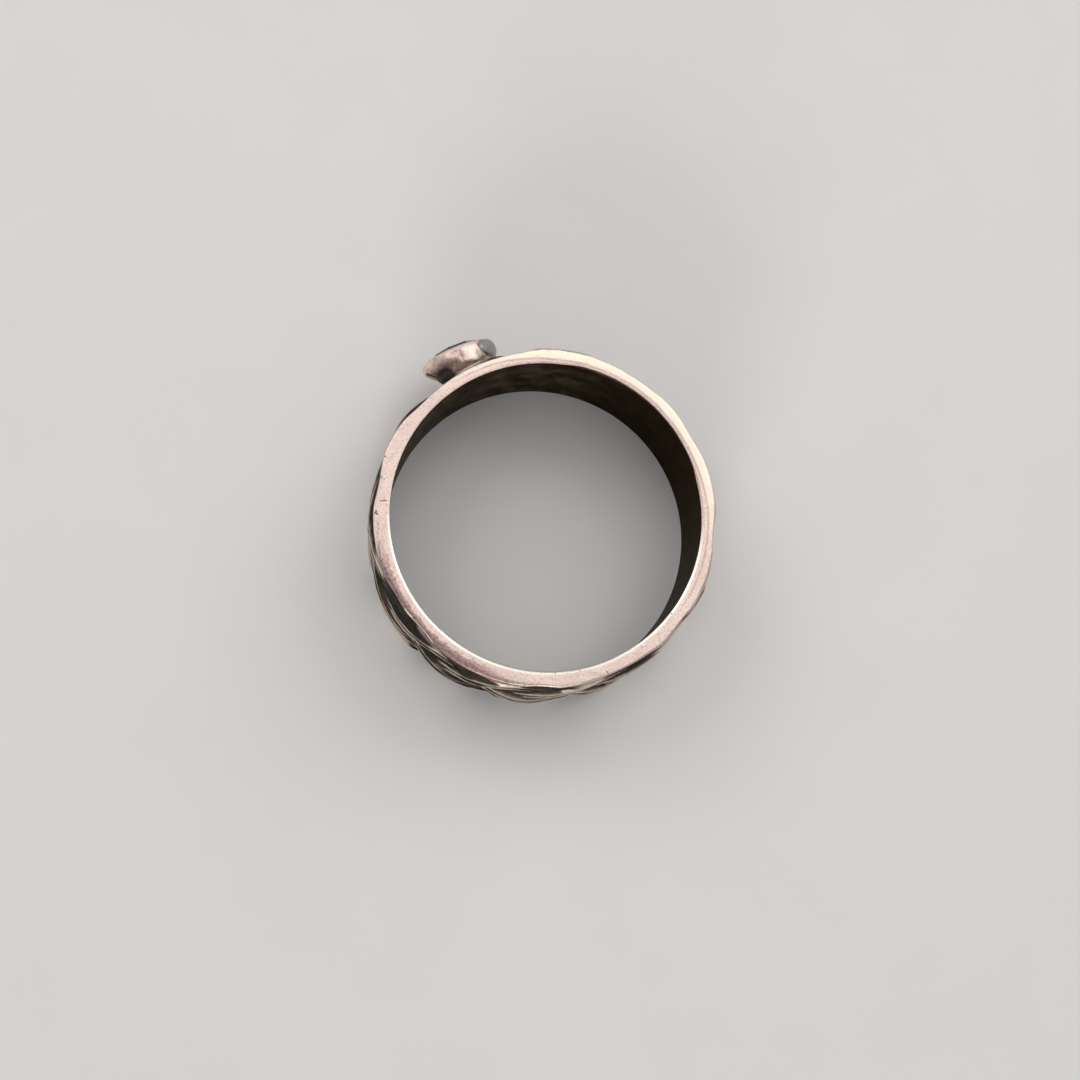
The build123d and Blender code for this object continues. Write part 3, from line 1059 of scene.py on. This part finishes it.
        # The highest polish and the painted highlight bars clear the tarnish
        depth = self.add_share(shine, SHINE_DEPTH, depth)
        hollow = self.add_share(self.chance, CHANCE_HOLLOW, self.value("hollow"))
        hollow = self.add_share(shine, SHINE_HOLLOW, hollow)
        brown = self.larger(self.ramp(depth, *BROWN_DEPTH), self.ramp(hollow, *BROWN_HOLLOW))
        black = self.larger(self.ramp(depth, *BLACK_DEPTH), self.ramp(hollow, *BLACK_HOLLOW))
        return self.times(brown, self.off_rim), self.times(black, self.off_rim)

    def soot(self):
        """Colour of the black tarnish."""
        soot = self.mix(self.ramp(self.cloud, 0.42, 0.66), SOOT, THIN_SOOT)
        return self.mix(self.ramp(self.speck, 0.52, 0.72, top=0.35), soot, SOOT_DUST)

    def bore(self):
        """Where the finger hole's painted dark reflection is, and its colour."""
        climb = self.add_share(self.patch, BORE_CLIMB_CHANCE, BORE_CLIMB)
        climb = self.times(self.near(*BORE_CLIMB_TURN), climb)
        start, full = (BORE_RADIUS + outside for outside in BORE_PAINT_EDGE)
        bore = self.ramp(self.math("SUBTRACT", self.radius, climb), start, full)
        clouds = self.ramp(self.noise(1.1, detail=4.0, roughness=0.6, distortion=0.3), 0.32, 0.74)
        # Paler clouds, strongest in one part, paint a paler reflection in the dark finger hole
        clouded = self.near(*BORE_CLOUD_TURN)
        clouds = self.times(clouds, self.add_share(clouded, 1 - BORE_CLOUD_LEAST, BORE_CLOUD_LEAST))
        colour = self.mix(clouds, BORE_DARK, BORE_CLOUD)
        end, most = (HALF_WIDTH - depth for depth in BORE_RED_DEPTHS)
        reddish = self.times(self.ramp(self.height, end, most, top=0.6), self.near(*BORE_RED_TURN))
        colour = self.mix(reddish, colour, BORE_RED)
        return bore, self.mix(self.ramp(self.speck, 0.58, 0.68, top=0.8), colour, BORE_PIT)


def band_material():
    """Worn cast silver: a speckled rim with painted highlights and shade, bright crests with painted
    highlight bars, blackened grooves, part of the wall painted as a dark reflection, and a bore painted dark
    as a dark reflection.
    """
    s = BandShader("plaited_silver")
    gleam = s.lip_bend_and_glint()
    nicks = s.times(s.marks(s.radius, MARKS, MARK_SHARP), s.on_rim)
    # Painted glint on the rim's outer lip
    colour = s.mix(s.math("MINIMUM", gleam, 1.0), s.silver(), PAINTED_GLINT)
    colour = s.mix(s.brown_line(), colour, BROWN_LINE)
    # Darker grey patches on the rim
    colour = s.mix(s.marks(s.ragged, GREY_PATCHES, GREY_PATCH_SHARP), colour, GREY_PATCH)
    colour = s.mix(nicks, colour, NICK)
    colour = s.mix(s.times(s.off_rim, SILVER_WALL_SHARE), colour, SILVER_WALL)

    brown, black = s.tarnish()
    colour = s.mix(s.times(brown, TARNISH_SHARE), colour, TARNISH)
    colour = s.mix(black, colour, s.soot())
    bore, bore_colour = s.bore()
    # The finger hole is painted dark, a painted dark reflection
    s.set(Base_Color=s.mix(bore, colour, bore_colour))

    # Gloss is dimmed on the tarnish and on the finger hole's painted dark
    tarnish_and_bore_shade = s.larger(bore, s.larger(brown, black))
    s.set(Metallic=s.ramp(black, 0.0, 1.0, 1.0, SOOT_METALLIC))
    s.set(Specular_Tint=s.mix(tarnish_and_bore_shade, CLEAN_GLOSS, TARNISHED_GLOSS))
    grain = s.noise(0.07, roughness=0.65)
    rough = s.add_share(black, SOOT_ROUGHNESS, s.ramp(grain, 0.3, 0.7, *SILVER_ROUGHNESS))
    s.set(Roughness=s.add_share(s.off_rim, WALL_ROUGHNESS, rough))
    uneven = s.bump(gleam, LIP_BENT, s.bump(nicks, -MARK_DEEP))
    s.set(Normal=s.bump(grain, SILVER_GRAIN, s.bump(s.speck, SILVER_SPECKS, uneven)))
    return s.material


def cup_material():
    """Soldered silver: pinkish and rough, with painted highlights on its cream top and edges, a smooth grey
    end, a dark seam, and painted shade in its hollows and under it.
    """
    s = Shader("soldered_silver")
    patch = s.noise(0.45, detail=4.0, roughness=0.6, distortion=0.8)
    grain = s.noise(0.06, roughness=0.65)
    speck = s.noise(0.16, roughness=0.6, distortion=0.3)
    chance = s.math("SUBTRACT", patch, 0.5)
    bead = s.ramp(s.add_share(chance, 0.25, s.value("bead")), 1.02, 0.90)
    # Painted highlights on the cup
    bright = s.ramp(s.add_share(chance, 1.0, s.value("bright")), 0.30, 0.65)
    # Painted shade on the cup, with its dark seam
    dark = s.ramp(s.add_share(chance, 0.7, s.value("dark")), 0.20, 0.90)

    colour = s.mix(s.ramp(patch, 0.35, 0.65), CUP_LIGHT, CUP_DEEP)
    colour = s.mix(s.ramp(speck, 0.52, 0.70, top=0.30), colour, CUP_SPECK)
    colour = s.mix(s.times(bead, CUP_BEAD_SHARE), colour, CUP_BEAD)
    colour = s.mix(bright, colour, CUP_PAINTED_HIGHLIGHT)
    s.set(Base_Color=s.mix(s.times(dark, CUP_DARK_SHARE), colour, CUP_DARK))

    s.set(Metallic=s.ramp(dark, 0.0, 1.0, 1.0, DARK_METALLIC))
    s.set(Roughness=s.add_share(bead, BEAD_ROUGHNESS, s.ramp(grain, 0.3, 0.7, *CUP_ROUGHNESS)))
    s.set(Normal=s.bump(grain, CUP_GRAIN, s.bump(speck, CUP_SPECKS, s.bump(patch, CUP_UNEVEN))))
    return s.material


def stone_material():
    """Dark polished stone with faint clouds."""
    s = Shader("dark_stone")
    s.set(Base_Color=s.mix(s.ramp(s.noise(1.1), 0.3, 0.7), STONE_DARK, STONE_CLOUD))
    s.set(Roughness=s.ramp(s.noise(0.12, detail=2.0), 0.3, 0.8, *STONE_ROUGHNESS))
    s.set(IOR=STONE_IOR)
    return s.material


def floor_material():
    """Plain pale paper."""
    s = Shader("pale_floor")
    s.set(Base_Color=s.mix(s.noise(8.0, detail=2.0), FLOOR_DEEP, FLOOR_LIGHT))
    s.set(Roughness=FLOOR_ROUGHNESS)
    return s.material


def make_floor():
    """A plain pale floor under the ring."""
    bpy.ops.mesh.primitive_plane_add(size=FLOOR_SIZE, location=(0, 0, FLOOR_LEVEL))
    floor = bpy.context.object
    floor.name = "floor"
    floor.data.materials.append(floor_material())


def make_camera():
    """The photo's camera, turned with the ring."""
    data = bpy.data.cameras.new("photo_camera")
    data.lens = LENS
    data.sensor_width = SENSOR
    data.clip_start = CLIP_NEAR * MM
    data.clip_end = CLIP_FAR * MM
    camera = bpy.data.objects.new("photo_camera", data)
    bpy.context.scene.collection.objects.link(camera)
    place = Vector(CAMERA_PLACE) * MM + Vector((0, 0, FLOOR_LEVEL))
    tilt = Matrix.Rotation(CAMERA_TILT_Y, 4, "Y") @ Matrix.Rotation(CAMERA_TILT_X, 4, "X")
    camera.matrix_world = Matrix.Rotation(PHOTO_TURN, 4, "Z") @ Matrix.Translation(place) @ tilt
    bpy.context.scene.camera = camera


def make_lights():
    """Soft studio light: a large key above, three lower lights and a pale surround."""
    for name, photo_angle, elevation, size, power, colour in LIGHTS:
        turn = math.radians(photo_angle) + PHOTO_TURN
        up = math.radians(elevation)
        towards = Vector((math.cos(turn) * math.cos(up), math.sin(turn) * math.cos(up), math.sin(up)))
        data = bpy.data.lights.new(name, "AREA")
        data.energy = power
        data.size = size
        data.color = colour
        light = bpy.data.objects.new(name, data)
        bpy.context.scene.collection.objects.link(light)
        light.location = towards * LIGHT_DISTANCE
        light.rotation_euler = (-light.location).to_track_quat("-Z", "Y").to_euler()
    world = bpy.data.worlds.new("surround")
    world.use_nodes = True
    background = world.node_tree.nodes["Background"]
    background.inputs["Color"].default_value = SURROUND
    background.inputs["Strength"].default_value = SURROUND_STRENGTH
    bpy.context.scene.world = world
    bpy.context.scene.view_settings.view_transform = "Standard"


band = make_band(band_material())
cup = make_cup(cup_material())
for piece in (band, cup):
    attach(piece, "root")
    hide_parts("ring_band")
stone = frame["nodes"]["stone"]
stone.data.materials.clear()
stone.data.materials.append(stone_material())
make_floor()
make_camera()
make_lights()
